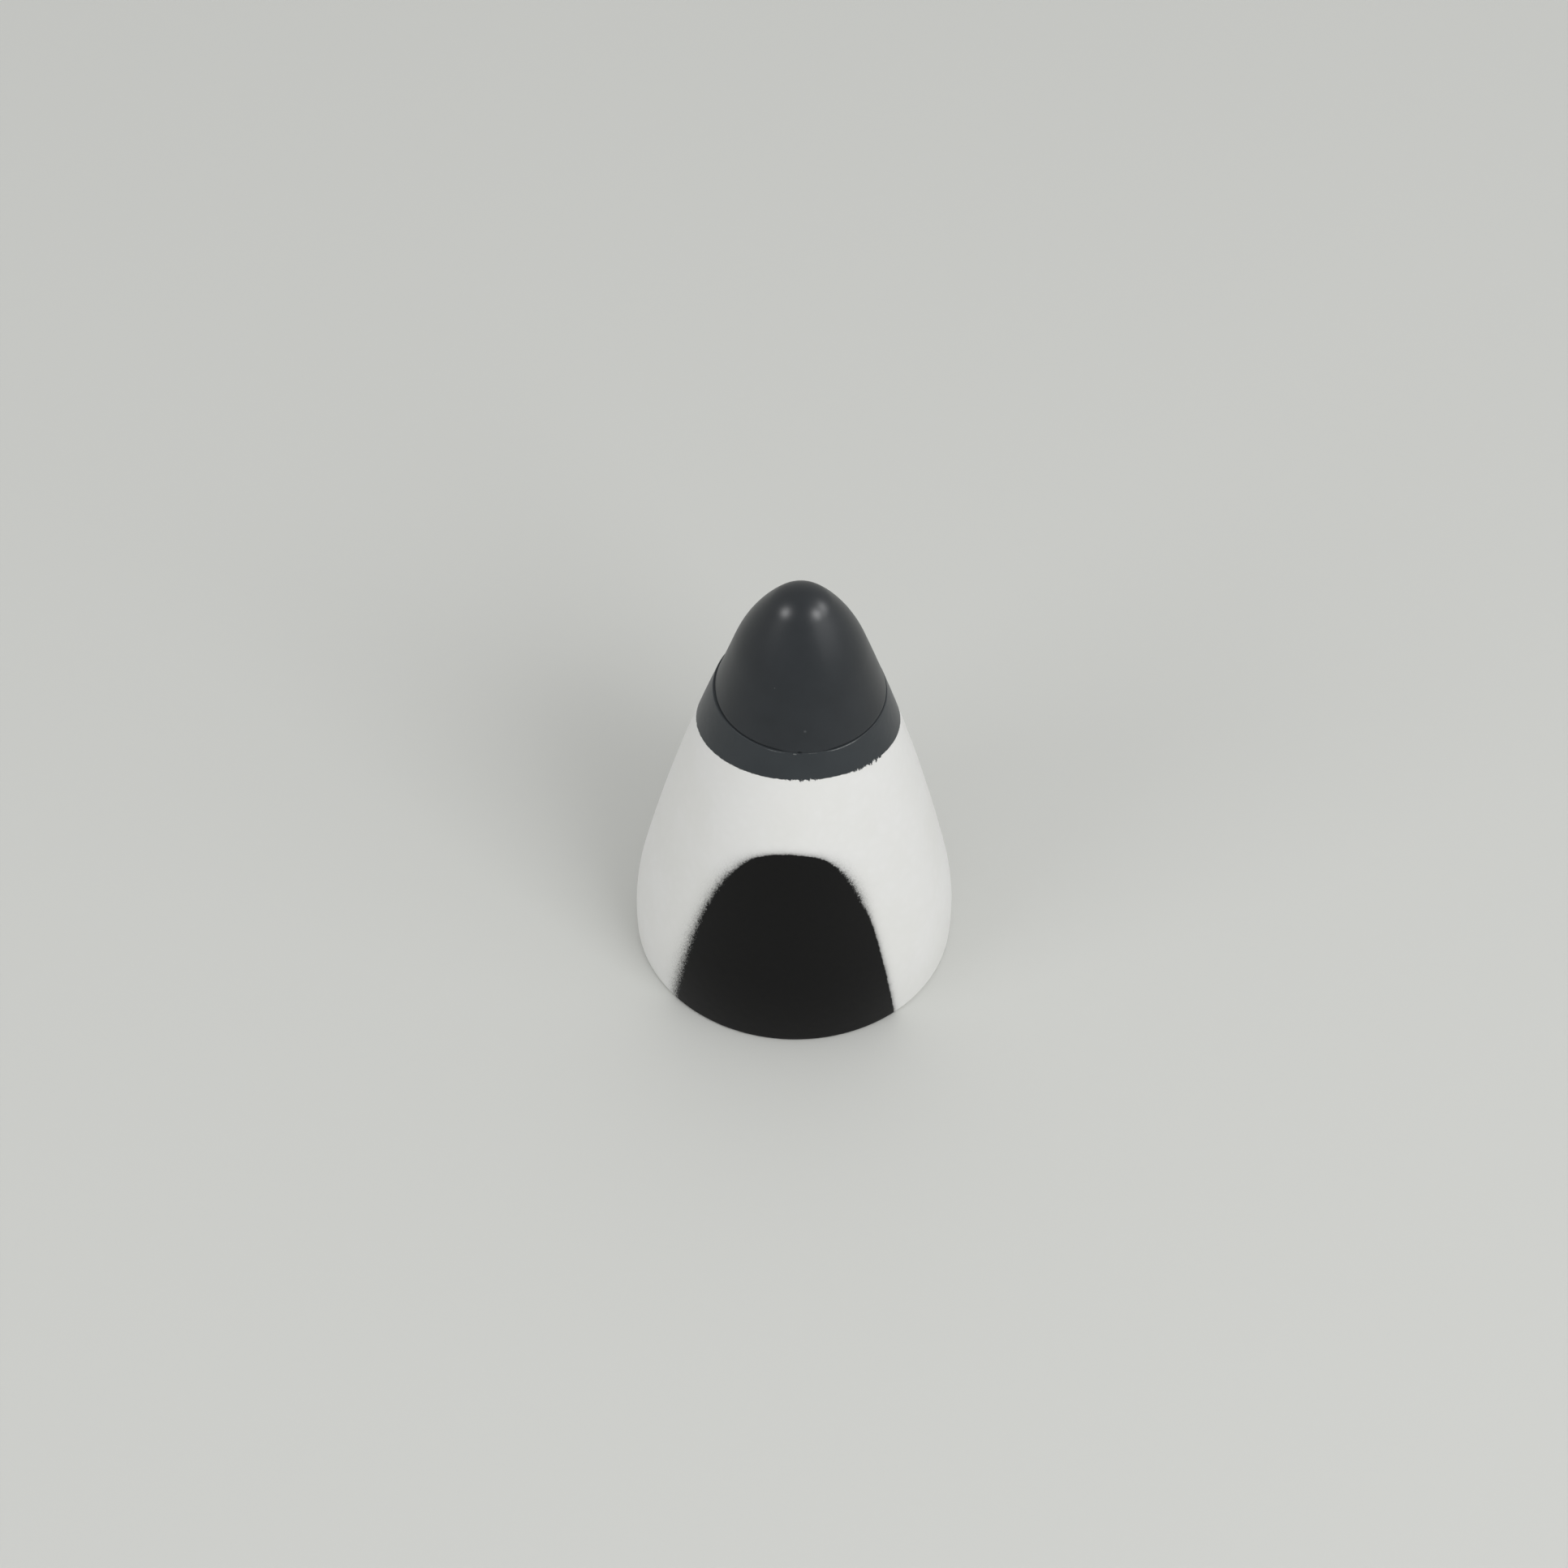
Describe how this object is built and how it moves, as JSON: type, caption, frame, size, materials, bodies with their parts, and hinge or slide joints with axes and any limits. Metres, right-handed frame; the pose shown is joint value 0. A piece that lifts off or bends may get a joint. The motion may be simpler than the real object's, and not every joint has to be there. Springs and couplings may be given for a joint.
{
  "type": "model jet nose cone",
  "caption": "Hollow foam nose cone of a model jet, white with a black glare panel and a grey band, with a hard dark grey cap glued over its tip and disc magnets in its flat joint face.",
  "frame": {"origin": "centre of the flat joint face, which the cone stands on", "axes": "+Z along the aircraft's long axis to the nose tip, -Y to the aircraft's upper side with the glare panel, +X to the right in a view of that side with the tip up"},
  "size_m": [0.0704, 0.0704, 0.107],
  "materials": {
    "painted_foam": "painted foam, matt",
    "grey_cap": "satin",
    "magnet": "nickel plate"
  },
  "bodies": {
    "root": {"foam_body": "painted_foam", "nose_cap": "grey_cap", "magnet_1": "magnet", "magnet_2": "magnet", "magnet_3": "magnet", "magnet_4": "magnet"}
  },
  "joints": []
}
